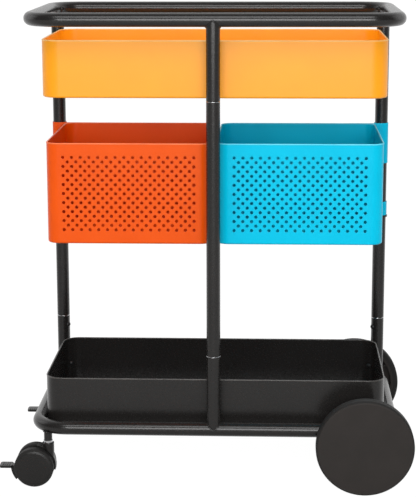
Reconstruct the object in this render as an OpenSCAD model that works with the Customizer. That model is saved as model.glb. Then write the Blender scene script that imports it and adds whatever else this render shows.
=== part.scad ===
// Rolling utility cart: a bent tube frame with two trays, two swing-out baskets,
// a pair of fixed disc wheels at one end and a pair of braked swivel casters at the other.
// Millimetres, +Z up, floor at Z = 0, front of the cart towards -Y.

/* [Frame] */
// Outside width of the two bent tube loops
loop_w = 600; // [540:5:660]
// Outside depth of the two bent tube loops
loop_d = 350; // [325:5:380]
// Bend radius of the loops at the centre line of the tube
loop_r = 50; // [46:1:60]
// Height of the top loop's centre line above the floor
top_loop_z = 756; // [740:1:800]
// Outside diameter of the frame tube
tube_d = 22; // [20:0.5:24]
// Wall of the frame tube
tube_wall = 1.5; // [1:0.1:2]
// Place of the rear posts on the rear bends, in degrees from the cart's side
post_angle = 33; // [28:1:40]
// Height of the joint in the front post under the top tray
upper_joint_z = 630; // [620:1:640]
// Height of the joint in the foot of the front post
front_joint_z = 221.5; // [205:0.5:235]
// Height of the joints in the feet of the rear posts
rear_joint_z = 211.5; // [200:0.5:225]
// Length of a joint plug inside each tube end
plug_reach = 25; // [22:1:35]
// Distance of a joint bolt from its joint
joint_bolt_gap = 16.5; // [12:0.5:19]
// Chamfer around the tube ends at the joints
joint_chamfer = 0.8; // [0.4:0.1:1]

/* [Trays] */
// Thickness of the bent sheet in trays and baskets
sheet = 1.2; // [1:0.1:1.6]
// Outside radius of the folds along the floors of trays and baskets
fold_r = 3; // [2:0.5:5]
// Distance of the shelf fronts behind the centre line of the front post
front_setback = 32; // [26:1:38]
// Vertical corner radius of the two trays
tray_r = 28; // [16:1:30]
// Height of the top tray
top_tray_h = 91; // [70:1:95]
// Distance from the top loop's centre line down to the top tray's rim
top_tray_drop = 33.5; // [25:0.5:45]
// Distance of the top tray's sides inside the centre lines of the rear posts
top_tray_inset = 7.5; // [5:0.5:12]
// Height of the bottom tray
bottom_tray_h = 83; // [60:1:90]
// Gap between the axle tube and the bottom tray above it
bottom_tray_lift = 1.5; // [1:0.5:6]
// Height of the tray screws above the floor of the top tray
top_screw_h = 45; // [30:1:55]
// Height of the tray screws above the floor of the bottom tray
bottom_screw_h = 36.5; // [30:0.5:50]
// Diameter of the spacers between trays and posts
spacer_d = 12; // [10:0.5:14]

/* [Baskets] */
// Height of a basket
basket_h = 162.5; // [130:0.5:170]
// Distance from the top loop's centre line down to the basket rims
basket_drop = 196; // [190:1:215]
// Gap between the two baskets
basket_gap = 7; // [5:0.5:12]
// Distance of the baskets' outer sides inside the centre lines of the rear posts
basket_inset = 12; // [8:0.5:16]
// Vertical corner radius of a basket
basket_r = 20; // [14:1:24]
// Height of the upper hinge sleeve
upper_sleeve_h = 70; // [50:1:75]
// Height of the lower hinge sleeve
lower_sleeve_h = 24; // [18:1:32]
// Length of the sleeve's leaf along the basket's back, from the post's centre
leaf_l = 56; // [46:1:70]
// Diameter of the holes in the basket fronts
hole_d = 5.2; // [4:0.1:5.6]
// Distance between neighbouring holes in a row
hole_pitch = 13.9; // [12.5:0.1:16]
// Distance between rows of holes
row_pitch = 7.3; // [7:0.1:9]
// Least distance of the holes from a basket's sides
hole_side = 28; // [24:1:40]
// Least distance of the holes from a basket's rim and floor
hole_edge = 22; // [16:1:30]

/* [Fixed wheels] */
// Diameter of the two fixed wheels
wheel_d = 158; // [150:1:165]
// Overall thickness of a fixed wheel
wheel_w = 22; // [20:0.5:26]
// Distance of the wheel axle from the middle of the cart
wheel_x = 243.5; // [225:0.5:248]
// Gap between the loops and the fixed wheels
wheel_gap = 2; // [1.5:0.5:6]
// Height of the tyre's section
tyre_h = 9; // [7:0.5:12]
// Radius of the disc cover short of the tyre's tread
cover_step = 2.5; // [1.5:0.5:4]
// Number of ribs in a wheel core
rib_count = 6; // [4:1:8]
// Diameter of the wheel axle
axle_d = 10; // [8:0.5:11]
// Outside diameter of the axle tube under the bottom loop
axle_tube_d = 19; // [17:0.5:21]

/* [Casters] */
// Diameter of the caster wheels
caster_d = 64; // [60:1:66]
// Width of one caster wheel
caster_wheel_w = 16; // [14:0.5:18]
// Thickness of the caster body between its wheels
hood_t = 12; // [11:0.5:14]
// Distance from the swivel axis back to the wheel axle
caster_trail = 22; // [18:0.5:25]
// Place of the casters on the bends, in degrees from the cart's side
caster_angle = 50; // [40:1:60]
// Diameter of the caster stem
stem_d = 8; // [7:0.5:8.5]
// Height of the top of the caster body above the floor
hood_top = 70; // [68:0.5:72]
// Height of the lower end of the caster sockets
socket_z = 74; // [73.5:0.5:78]
// Radius of the caster body beyond the wheels' tread
guard_step = 2.5; // [2:0.5:6]
// Reach of the brake pedal from the wheel axle
pedal_reach = 58; // [52:1:64]

/* [Hidden] */
$fn = 64;
fit_gap = 0.05;        // radial gap of pieces fixed in or on each other
run_gap = 0.08;        // radial gap of pieces that turn on each other
sleeve_gap = 0.1;      // radial gap of the hinge sleeves around the posts
body_gap = 0.3;        // gap between faces that pass each other
over = 1;              // how far cutting shapes run past a face
bite = 1;              // how far parts of one moulding run into each other

tube_r = tube_d / 2;
bore_r = tube_r - tube_wall;
plug_r = bore_r - fit_gap;
half_w = loop_w / 2 - tube_r;          // centre line of the loops' sides
half_d = loop_d / 2 - tube_r;          // centre line of the loops' front and back
bend_x = half_w - loop_r;              // centres of the bends
bend_y = half_d - loop_r;
bend_in = loop_r - tube_r;             // radius of the bends' inner side
wheel_r = wheel_d / 2;
axle_r = axle_d / 2;
axle_tube_r = axle_tube_d / 2;
axle_sink = 1;                         // depth of the notches where the axle tube meets the loop
plug_rise = 6;                         // top of the rear posts' plugs above the top loop's centre line
notch_blunt = 3;                       // blunt tips of the rear posts' notches below that centre line
bottom_loop_z = wheel_r + axle_tube_r + tube_r - axle_sink;

post_x = bend_x + loop_r * cos(post_angle);
post_y = bend_y + loop_r * sin(post_angle);
sleeve_ri = tube_r + sleeve_gap;
sleeve_ro = sleeve_ri + sheet;
shelf_back = post_y - sleeve_ro;       // back face of trays and baskets
shelf_front = -half_d + front_setback; // front face of trays and baskets
shelf_d = shelf_back - shelf_front;
shelf_y = (shelf_back + shelf_front) / 2;

top_tray_w = 2 * (post_x - top_tray_inset);
top_tray_z = top_loop_z - top_tray_drop - top_tray_h;
bottom_tray_w = 2 * (half_w - tube_r - body_gap);
bottom_tray_z = wheel_r + axle_tube_r + bottom_tray_lift;
top_screw_z = top_tray_z + top_screw_h;
bottom_screw_z = bottom_tray_z + bottom_screw_h;

basket_z = top_loop_z - basket_drop - basket_h;
basket_w = post_x - basket_inset - basket_gap / 2;
basket_x = (basket_gap + basket_w) / 2;
collar_h = 3;
collar_r = sleeve_ro + sheet;

screw_r = 2.5;                         // shanks of bolts and screws
screw_play = 0.15;                     // radial gap of the screws in their holes
screw_hole_r = screw_r + screw_play;
head_r = 4.5;
head_h = 3;
screw_l = 10;                          // length of shank past the wall that it enters
// Rise of a bolt head that sits in the hollow side of a bend
bolt_lift = bend_in - sqrt(bend_in * bend_in - head_r * head_r) + fit_gap;

bush_t = 2;                            // flange of an axle bush
bush_l = 12;
wheel_y = half_d + tube_r + wheel_gap; // inner face of a fixed wheel
hub_back = 0.2;                        // how far a hub reaches past the wheel's inner face
axle_tube_end = wheel_y - bush_t - body_gap - hub_back;
cover_t = 2;
cover_edge_t = 1.2;                    // thickness of the disc cover at its bevelled edge
cover_bevel = 1.2;
cover_ring_t = 2;
cover_fit = 0.2;                       // radial gap of the cover's ring in the rim
core_w = wheel_w - cover_t;
hub_t = 7;
hub_r = axle_r + hub_t;
web_depth = 9;                         // depth of the core's web behind the cover
web_z = core_w - web_depth;
web_t = 3;
rib_step = 2;                          // depth of the ribs behind the wheel's inner face
rim_r = wheel_r - tyre_h;
rim_t = 4;
tyre_edge = 2.5;
clip_t = 1.5;
clip_grip = 4;                         // width of a clip's ring around the axle
clip_r = axle_r + clip_grip;
axle_proud = 1;                        // how far the axle shows past its clips
axle_end = web_z + web_t + body_gap + clip_t + axle_proud;

caster_x = bend_x + loop_r * cos(caster_angle);
caster_y = bend_y + loop_r * sin(caster_angle);
caster_r = caster_d / 2;
stem_r = stem_d / 2;
socket_t = 2.75;                       // wall of the caster sockets
socket_r = stem_r + socket_t;
stem_sink = 22;                        // depth of the stem in the caster body
stem_foot = hood_top - stem_sink;
flange_r = stem_r + 3.4;
boss_r = stem_r + 5.5;                 // swivel boss of the caster body
boss_foot = stem_foot - 8;
cheek_r = 11;                          // round part of the caster body about the wheel axle
guard_low = -12;                       // the guard in front of the wheels, in degrees about the axle
guard_high = 82;
guard_gap = 1.5;                       // gap between the wheels' treads and the swivel boss
caster_gap = 0.6;                      // gap between a caster wheel and the caster body
caster_disc_t = 1.8;                   // outer wall of a caster wheel over the axle's end
caster_web_t = 3.5;                    // outer wall of a caster wheel elsewhere
caster_hub_t = 4;
caster_rim_t = 3;
caster_tyre_h = 3.5;
tread_in = 0.5;                        // how far rim and tyre stand back from the hub's ends
tread_out = 0.8;
caster_tyre_edge = 1.8;
pin_r = 3;                             // caster wheel axle
pin_end = hood_t / 2 + caster_gap + caster_wheel_w - caster_disc_t - body_gap;
caster_rim_r = caster_r - caster_tyre_h;
pivot_r = 2;                           // brake pedal pin
pivot_x = -17;                         // brake pedal pin from the wheel axle
pivot_z = -9;
pivot_a = atan2(pivot_z, pivot_x);
pivot_l = norm([pivot_x, pivot_z]);
lug_t = hood_t / 2;
lug_r = 5;
lug_gap = 0.6;                         // gap around the lug in the pedal's ears
ear_r = lug_r + 0.2;
pad_l = 21;
pad_w = 20;
pad_t = 4;
pad_r = 4;
pad_drop = 4;                          // underside of the pad below the wheel axle
pad_rib_r = 0.9;
pad_rib_pitch = 3.5;
pad_rib_count = 4;
pad_rib_side = 3;                      // distance of the ribs' ends from the pad's sides
arm_gap = 2;                           // gap between the tread and the pedal's arm
arm_h = 6;
arm_in = caster_r + arm_gap;
arm_out = arm_in + arm_h;
arm_t = hood_t - 0.4;
arm_high = 181;                        // the arm's ends, in degrees about the wheel axle
arm_low = 218;
strut_h = 8;                           // height of the strut from the ears to the arm

// The origin lies under the middle of the whole cart, so the frame stands a little to the right
left_reach = caster_x + caster_trail + pedal_reach;
right_reach = wheel_x + wheel_r;
shift_x = (left_reach - right_reach) / 2;

frame_black = [0.15, 0.15, 0.155];
tray_yellow = [1, 0.65, 0.16];
basket_orange = [1, 0.36, 0.12];
basket_cyan = [0, 0.73, 0.87];
plastic_black = [0.12, 0.12, 0.125];
rubber_black = [0.07, 0.07, 0.07];
chrome = [0.8, 0.8, 0.82];
zinc = [0.62, 0.63, 0.65];

// Placing

// Moves a piece from the middle of the loops to the part's own origin
module in_cart() {
    translate([shift_x, 0, 0]) children();
}

// Turns a piece drawn along +Z so that it points level, at an angle from +X
module level(angle) {
    rotate([0, 0, angle]) rotate([0, 90, 0]) children();
}

// Flat shapes and plain solids

// Rectangle with round corners, built from exact arcs
module round_rect(w, d, r) {
    square([w - 2 * r, d], center = true);
    square([w, d - 2 * r], center = true);
    for (x = [-1, 1], y = [-1, 1])
        translate([x * (w / 2 - r), y * (d / 2 - r)]) circle(r = r);
}

// Closed ring of round bar with four bends, centred on the origin
module loop_solid(r) {
    for (y = [-half_d, half_d])
        translate([-bend_x, y, 0]) rotate([0, 90, 0]) cylinder(r = r, h = 2 * bend_x);
    for (x = [-half_w, half_w])
        translate([x, -bend_y, 0]) rotate([-90, 0, 0]) cylinder(r = r, h = 2 * bend_y);
    for (i = [0:3])
        translate([(i == 0 || i == 3 ? 1 : -1) * bend_x, (i < 2 ? 1 : -1) * bend_y, 0])
            rotate([0, 0, 90 * i]) rotate_extrude(angle = 90) translate([loop_r, 0]) circle(r = r);
}

// Upright round bar between two heights, with chamfers where it ends in a joint
module upright(low, high, chamfer_low, chamfer_high) {
    c = joint_chamfer;
    translate([0, 0, low + c * chamfer_low])
        cylinder(r = tube_r, h = high - low - c * (chamfer_low + chamfer_high));
    if (chamfer_low > 0)
        translate([0, 0, low]) cylinder(r1 = tube_r - c, r2 = tube_r, h = c);
    if (chamfer_high > 0)
        translate([0, 0, high - c]) cylinder(r1 = tube_r, r2 = tube_r - c, h = c);
}

// Solid box with round upright corners and round floor edges, standing on Z = 0
module tub(w, d, h, r, e) {
    module profile() {
        square([r - e, h]);
        translate([0, e]) square([r, h - e]);
        translate([r - e, e]) circle(r = e, $fn = 32);
    }
    x = w / 2 - r;
    y = d / 2 - r;
    for (i = [0:3])
        translate([(i == 0 || i == 3 ? 1 : -1) * x, (i < 2 ? 1 : -1) * y, 0])
            rotate([0, 0, 90 * i]) rotate_extrude(angle = 90) profile();
    for (turn = [0, 180]) rotate([0, 0, turn]) {
        translate([x, y, 0]) rotate([90, 0, 0]) linear_extrude(2 * y) profile();
        translate([-x, y, 0]) rotate([90, 0, 90]) linear_extrude(2 * x) profile();
    }
    translate([-x, -y, 0]) cube([2 * x, 2 * y, h]);
}

// Open box of bent sheet, standing on Z = 0
module sheet_box(w, d, h, r) {
    difference() {
        tub(w, d, h, r, fold_r);
        translate([0, 0, sheet]) tub(w - 2 * sheet, d - 2 * sheet, h, r - sheet, fold_r - sheet);
    }
}

// Domed screw that points along +Z, with its head's underside at Z = 0
module dome_screw(l) {
    dome_r = (head_r * head_r + head_h * head_h) / (2 * head_h);
    intersection() {
        translate([0, 0, -head_h]) cylinder(r = head_r, h = head_h);
        translate([0, 0, dome_r - head_h]) sphere(r = dome_r);
    }
    cylinder(r = screw_r, h = l);
}

// Frame

// Place of a rear post: side is -1 on the left and 1 on the right
function post_at(side) = [side * post_x, post_y, 0];
// Level direction from a rear post to the middle of its bend
function post_in(side) = side < 0 ? -post_angle : 180 + post_angle;

module top_loop() {
    color(frame_black) in_cart() difference() {
        union() {
            translate([0, 0, top_loop_z]) loop_solid(tube_r);
            translate([0, -half_d, 0]) upright(upper_joint_z, top_loop_z, 1, 0);
        }
        translate([0, 0, top_loop_z]) loop_solid(bore_r);
        translate([0, -half_d, upper_joint_z - over])
            cylinder(r = bore_r, h = top_loop_z - upper_joint_z + over);
        for (side = [-1, 1]) translate(post_at(side)) {
            translate([0, 0, top_loop_z - 2 * tube_r]) cylinder(r = bore_r, h = 2 * tube_r + plug_rise);
            translate([0, 0, top_loop_z]) level(post_in(side)) cylinder(r = screw_hole_r, h = 2 * tube_r);
        }
        translate([0, -half_d, upper_joint_z + joint_bolt_gap])
            level(90) cylinder(r = screw_hole_r, h = 2 * tube_r);
        translate([0, -half_d, top_screw_z]) level(90) cylinder(r = screw_hole_r, h = 2 * tube_r);
    }
}

module bottom_loop() {
    color(frame_black) in_cart() difference() {
        union() {
            translate([0, 0, bottom_loop_z]) loop_solid(tube_r);
            translate([0, -half_d, 0]) upright(bottom_loop_z, front_joint_z, 0, 1);
            for (side = [-1, 1])
                translate(post_at(side)) upright(bottom_loop_z, rear_joint_z, 0, 1);
            for (y = [-1, 1])
                translate([-caster_x, y * caster_y, socket_z])
                    cylinder(r = socket_r, h = bottom_loop_z - socket_z);
        }
        translate([0, 0, bottom_loop_z]) loop_solid(bore_r);
        translate([0, -half_d, bottom_loop_z])
            cylinder(r = bore_r, h = front_joint_z - bottom_loop_z + over);
        translate([0, -half_d, front_joint_z - joint_bolt_gap])
            level(90) cylinder(r = screw_hole_r, h = 2 * tube_r);
        translate([0, -half_d, bottom_screw_z]) level(90) cylinder(r = screw_hole_r, h = 2 * tube_r);
        for (side = [-1, 1]) translate(post_at(side)) {
            translate([0, 0, bottom_loop_z]) cylinder(r = bore_r, h = rear_joint_z - bottom_loop_z + over);
            translate([0, 0, rear_joint_z - joint_bolt_gap])
                level(post_in(side)) cylinder(r = screw_hole_r, h = 2 * tube_r);
            translate([0, 0, bottom_screw_z])
                level(tray_dir(side, bottom_tray_w)) cylinder(r = screw_hole_r, h = 2 * tube_r);
        }
        for (y = [-1, 1])
            translate([-caster_x, y * caster_y, socket_z - over])
                cylinder(r = stem_r + fit_gap, h = bottom_loop_z - socket_z + over);
    }
}

module front_post() {
    color(frame_black) in_cart() translate([0, -half_d, 0]) difference() {
        upright(front_joint_z, upper_joint_z, 1, 1);
        translate([0, 0, front_joint_z - over])
            cylinder(r = bore_r, h = upper_joint_z - front_joint_z + 2 * over);
    }
}

// Rear post, notched at its top to sit under the loop
module rear_post(side) {
    color(frame_black) in_cart() difference() {
        translate(post_at(side)) upright(rear_joint_z, top_loop_z - notch_blunt, 1, 0);
        translate(post_at(side)) translate([0, 0, rear_joint_z - over])
            cylinder(r = bore_r, h = top_loop_z - rear_joint_z + 2 * over);
        translate([0, 0, top_loop_z]) loop_solid(tube_r + fit_gap);
        translate(post_at(side)) translate([0, 0, top_screw_z])
            level(tray_dir(side, top_tray_w)) cylinder(r = screw_hole_r, h = 2 * tube_r);
    }
}

// Round bar from a low to a high end, with a threaded hole in a level direction
module plug(low, high, hole_z, dir) {
    difference() {
        translate([0, 0, low]) cylinder(r = plug_r, h = high - low);
        translate([0, 0, hole_z]) level(dir) cylinder(r = screw_hole_r, h = 2 * tube_r);
    }
}

// Plug across a joint of an upright tube, with its hole above or below the joint
module joint_plug(joint_z, hole_z, dir) {
    plug(joint_z - plug_reach, joint_z + plug_reach, hole_z, dir);
}

module joint_plugs() {
    color(zinc) in_cart() {
        translate([0, -half_d, 0]) joint_plug(upper_joint_z, upper_joint_z + joint_bolt_gap, 90);
        translate([0, -half_d, 0]) joint_plug(front_joint_z, front_joint_z - joint_bolt_gap, 90);
        for (side = [-1, 1]) translate(post_at(side)) {
            joint_plug(rear_joint_z, rear_joint_z - joint_bolt_gap, post_in(side));
            plug(top_loop_z - tube_r - plug_reach, top_loop_z + plug_rise - fit_gap,
                top_loop_z, post_in(side));
        }
    }
}

// Bolt that enters a tube from one side, with its head on the tube
module joint_bolt(z, dir, lift = 0) {
    translate([0, 0, z]) level(dir) translate([0, 0, tube_r + lift]) rotate([180, 0, 0]) dome_screw(screw_l);
}

module joint_bolts() {
    color(zinc) in_cart() {
        translate([0, -half_d, 0]) joint_bolt(upper_joint_z + joint_bolt_gap, 90);
        translate([0, -half_d, 0]) joint_bolt(front_joint_z - joint_bolt_gap, 90);
        for (side = [-1, 1]) translate(post_at(side)) {
            joint_bolt(rear_joint_z - joint_bolt_gap, post_in(side));
            joint_bolt(top_loop_z, post_in(side), bolt_lift);
        }
    }
}

// Rings on the rear posts that carry the baskets
module post_collars() {
    color(frame_black) in_cart() for (side = [-1, 1])
        translate(post_at(side)) translate([0, 0, basket_z - body_gap - collar_h]) difference() {
            cylinder(r = collar_r, h = collar_h);
            translate([0, 0, -over]) cylinder(r = tube_r + fit_gap, h = collar_h + 2 * over);
        }
}

// Trays

// Centre of a tray's rear corner
function tray_corner(side, w) = [side * (w / 2 - tray_r), shelf_back - tray_r, 0];
// Level direction from a rear post to the centre of the tray's corner
function tray_dir(side, w) =
    atan2(shelf_back - tray_r - post_y, side * (w / 2 - tray_r) - side * post_x);
// Distance from a rear post to the centre of the tray's corner
function tray_reach(w) = norm([post_x - (w / 2 - tray_r), post_y - (shelf_back - tray_r)]);

// Tray with its three screw holes, at a height
module tray(w, h, z, screw_z) {
    difference() {
        translate([0, shelf_y, z]) sheet_box(w, shelf_d, h, tray_r);
        translate([0, -half_d, screw_z]) level(90) cylinder(r = screw_hole_r, h = front_setback + 3 * sheet);
        for (side = [-1, 1]) translate(post_at(side)) translate([0, 0, screw_z])
            level(tray_dir(side, w)) cylinder(r = screw_hole_r, h = tray_reach(w));
    }
}

module top_tray() {
    color(tray_yellow) in_cart() tray(top_tray_w, top_tray_h, top_tray_z, top_screw_z);
}

module bottom_tray() {
    color(frame_black) in_cart() tray(bottom_tray_w, bottom_tray_h, bottom_tray_z, bottom_screw_z);
}

// Spacers of one tray: each is hollowed to sit on its post, and at the back on the tray's corner
module spacer_set(w, z) {
    for (side = [-1, 1]) translate([0, 0, z]) difference() {
        translate(post_at(side)) level(tray_dir(side, w)) difference() {
            cylinder(r = spacer_d / 2, h = tray_reach(w));
            cylinder(r = screw_hole_r, h = tray_reach(w) + over);
        }
        translate(post_at(side)) cylinder(r = tube_r + fit_gap, h = 4 * spacer_d, center = true);
        translate(tray_corner(side, w)) cylinder(r = tray_r + fit_gap, h = 4 * spacer_d, center = true);
    }
    translate([0, -half_d, z]) difference() {
        level(90) difference() {
            cylinder(r = spacer_d / 2, h = front_setback - fit_gap);
            cylinder(r = screw_hole_r, h = front_setback + over);
        }
        cylinder(r = tube_r + fit_gap, h = 4 * spacer_d, center = true);
    }
}

module tray_spacers() {
    color(zinc) in_cart() {
        spacer_set(top_tray_w, top_screw_z);
        spacer_set(bottom_tray_w, bottom_screw_z);
    }
}

// Screws of one tray, driven from inside it
module screw_set(w, z) {
    corner_in = tray_r - sheet;
    seat = sqrt(corner_in * corner_in - head_r * head_r) - fit_gap;
    for (side = [-1, 1]) translate(post_at(side)) translate([0, 0, z]) level(tray_dir(side, w))
        translate([0, 0, tray_reach(w) - seat]) rotate([180, 0, 0])
            dome_screw(tray_reach(w) - seat - tube_r + screw_l / 2);
    translate([0, -half_d, z]) level(90) translate([0, 0, front_setback + sheet]) rotate([180, 0, 0])
        dome_screw(front_setback + sheet - tube_r + screw_l / 2);
}

module tray_screws() {
    color(zinc) in_cart() {
        screw_set(top_tray_w, top_screw_z);
        screw_set(bottom_tray_w, bottom_screw_z);
    }
}

// Baskets

// Staggered round holes over a basket's front, centred on the origin
module hole_pattern(w, h) {
    cols = floor((w - 2 * hole_side) / hole_pitch);
    rows = floor((h - 2 * hole_edge) / row_pitch);
    for (j = [0:rows]) {
        n = cols - j % 2;
        for (i = [0:n])
            translate([(i - n / 2) * hole_pitch, (j - rows / 2) * row_pitch]) circle(d = hole_d, $fn = 24);
    }
}

// Basket: side is -1 on the left and 1 on the right
module basket(side) {
    in_cart() translate([side * basket_x, 0, basket_z]) difference() {
        translate([0, shelf_y, 0]) sheet_box(basket_w, shelf_d, basket_h, basket_r);
        translate([0, shelf_front + 2 * sheet, basket_h / 2]) rotate([90, 0, 0])
            linear_extrude(3 * sheet) hole_pattern(basket_w, basket_h);
    }
}

// Hinge sleeve of rolled sheet around a rear post, with a leaf along the basket's back
module sleeve(side, h) {
    difference() {
        union() {
            cylinder(r = sleeve_ro, h = h);
            translate([side < 0 ? 0 : -leaf_l, -sleeve_ro, 0]) cube([leaf_l, sheet, h]);
        }
        translate([0, 0, -over]) cylinder(r = sleeve_ri, h = h + 2 * over);
    }
}

module basket_sleeves(side) {
    in_cart() translate(post_at(side)) {
        translate([0, 0, basket_z + basket_h - upper_sleeve_h]) sleeve(side, upper_sleeve_h);
        translate([0, 0, basket_z]) sleeve(side, lower_sleeve_h);
    }
}

// Fixed wheels

// Turns a piece drawn from the wheel's inner face along +Z to the front or the rear of the cart
module at_wheel(side) {
    in_cart() translate([wheel_x, side * wheel_y, wheel_r]) rotate([-side * 90, 0, 0]) children();
}

module axle_tube() {
    color(frame_black) in_cart() difference() {
        translate([wheel_x, axle_tube_end, wheel_r]) rotate([90, 0, 0]) difference() {
            cylinder(r = axle_tube_r, h = 2 * axle_tube_end);
            translate([0, 0, -over]) cylinder(r = axle_tube_r - tube_wall, h = 2 * axle_tube_end + 2 * over);
        }
        translate([0, 0, bottom_loop_z]) loop_solid(tube_r + fit_gap);
    }
}

module axle_bushes() {
    color(plastic_black) for (side = [-1, 1]) at_wheel(side) translate([0, 0, axle_tube_end - wheel_y])
        difference() {
            union() {
                cylinder(r = axle_tube_r, h = bush_t);
                translate([0, 0, -bush_l]) cylinder(r = axle_tube_r - tube_wall - fit_gap, h = bush_l);
            }
            translate([0, 0, -bush_l - over]) cylinder(r = axle_r + fit_gap, h = bush_l + bush_t + 2 * over);
        }
}

module wheel_axle() {
    color(zinc) in_cart() translate([wheel_x, wheel_y + axle_end, wheel_r])
        rotate([90, 0, 0]) cylinder(r = axle_r, h = 2 * (wheel_y + axle_end));
}

module axle_clips() {
    color(zinc) for (side = [-1, 1]) at_wheel(side) translate([0, 0, web_z + web_t + body_gap]) difference() {
        cylinder(r = clip_r, h = clip_t);
        translate([0, 0, -over]) cylinder(r = axle_r + fit_gap, h = clip_t + 2 * over);
    }
}

// Moulded core: hub, ribs, web and rim, open towards the cart
module wheel_core(side) {
    color(plastic_black) at_wheel(side) difference() {
        union() {
            translate([0, 0, -hub_back]) cylinder(r = hub_r, h = hub_back + web_z);
            translate([0, 0, web_z]) cylinder(r = rim_r - bite, h = web_t);
            difference() {
                cylinder(r = rim_r, h = core_w);
                translate([0, 0, -over]) cylinder(r = rim_r - rim_t, h = core_w + 2 * over);
            }
            for (i = [0:rib_count - 1]) rotate([0, 0, 360 / rib_count * (i + 0.5)])
                translate([hub_r - bite, -web_t / 2, rib_step])
                    cube([rim_r - rim_t - hub_r + 2 * bite, web_t, web_z - rib_step + bite]);
        }
        translate([0, 0, -hub_back - over]) cylinder(r = axle_r + run_gap, h = core_w + hub_back + 2 * over);
    }
}

module wheel_tyre(side) {
    e = tyre_edge;
    color(rubber_black) at_wheel(side) rotate_extrude() polygon([
        [rim_r, 0], [wheel_r - e, 0], [wheel_r, e],
        [wheel_r, core_w - e], [wheel_r - e, core_w], [rim_r, core_w]
    ]);
}

// Flat disc cover with a ring that locates it in the rim
module wheel_cover(side) {
    ring_out = rim_r - rim_t - cover_fit;
    ring_in = ring_out - cover_ring_t;
    edge = wheel_r - cover_step;
    color(plastic_black) at_wheel(side) rotate_extrude() polygon([
        [0, core_w], [ring_in, core_w], [ring_in, web_z + web_t], [ring_out, web_z + web_t],
        [ring_out, core_w], [edge, core_w], [edge, core_w + cover_edge_t],
        [edge - cover_bevel, wheel_w], [0, wheel_w]
    ]);
}

// Casters

// Puts a piece drawn around the wheel axle, floor at Z = 0, under the front or the rear socket
module at_caster(side) {
    in_cart() translate([-caster_x, side * caster_y, 0]) children();
}

// Turns a piece drawn around the wheel axle in the XY plane upright, centred between the wheels
module at_axle() {
    translate([-caster_trail, 0, caster_r]) rotate([90, 0, 0]) children();
}

module caster_stem(side) {
    color(chrome) at_caster(side) {
        translate([0, 0, stem_foot]) cylinder(r = stem_r, h = bottom_loop_z - tube_wall - stem_foot);
        translate([0, 0, hood_top + body_gap]) cylinder(r = flange_r, h = socket_z - hood_top - body_gap);
    }
}

// Pie slice of a circle between two angles
module slice(r, from, to) {
    mid = (from + to) / 2;
    intersection() {
        circle(r = r);
        polygon([
            [0, 0], 2 * r * [cos(from), sin(from)], 2 * r * [cos(mid), sin(mid)], 2 * r * [cos(to), sin(to)]
        ]);
    }
}

// Body between the two wheels, with the swivel boss on top and a lug for the brake pedal
module caster_hood(side) {
    color(plastic_black) at_caster(side) difference() {
        union() {
            at_axle() linear_extrude(hood_t, center = true) union() {
                circle(r = cheek_r);
                slice(caster_r + guard_step, guard_low, guard_high);
            }
            translate([0, 0, boss_foot]) cylinder(r = boss_r, h = hood_top - boss_foot);
            at_axle() linear_extrude(lug_t, center = true) rotate([0, 0, pivot_a]) union() {
                translate([0, -lug_r]) square([pivot_l, 2 * lug_r]);
                translate([pivot_l, 0]) circle(r = lug_r);
            }
        }
        for (face = [-1, 1]) at_axle() translate([0, 0, face * (hood_t / 2 + caster_wheel_w)])
            cylinder(r = caster_r + guard_gap, h = 2 * caster_wheel_w, center = true);
        translate([0, 0, stem_foot - 2 * body_gap]) cylinder(r = stem_r + run_gap, h = hood_top);
        at_axle() cylinder(r = pin_r + fit_gap, h = 2 * hood_t, center = true);
        at_axle() translate([pivot_x, pivot_z, 0])
            cylinder(r = pivot_r + fit_gap, h = 2 * hood_t, center = true);
    }
}

module caster_axle(side) {
    color(zinc) at_caster(side) at_axle() cylinder(r = pin_r, h = 2 * pin_end, center = true);
}

// Turns a piece drawn from a caster wheel's inner face along +Z outwards: face is 1 outside, -1 inside
module at_caster_wheel(side, face) {
    at_caster(side) at_axle() rotate([side * face > 0 ? 180 : 0, 0, 0])
        translate([0, 0, hood_t / 2 + caster_gap]) children();
}

module caster_wheel(side, face) {
    w = caster_wheel_w;
    rim_in = caster_rim_r - caster_rim_t;
    hub_out = pin_r + caster_hub_t;
    bore = pin_r + run_gap;
    color(plastic_black) at_caster_wheel(side, face) rotate_extrude() polygon([
        [0, w], [rim_in, w], [caster_rim_r, w - tread_out], [caster_rim_r, tread_in], [rim_in, tread_in],
        [rim_in, w - caster_web_t], [hub_out, w - caster_web_t], [hub_out, 0], [bore, 0],
        [bore, w - caster_disc_t], [0, w - caster_disc_t]
    ]);
}

module caster_tyre(side, face) {
    low = tread_in;
    high = caster_wheel_w - tread_out;
    e = caster_tyre_edge;
    color(rubber_black) at_caster_wheel(side, face) rotate_extrude() polygon([
        [caster_rim_r, low], [caster_r - e, low], [caster_r, low + e],
        [caster_r, high - e], [caster_r - e, high], [caster_rim_r, high]
    ]);
}

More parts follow.
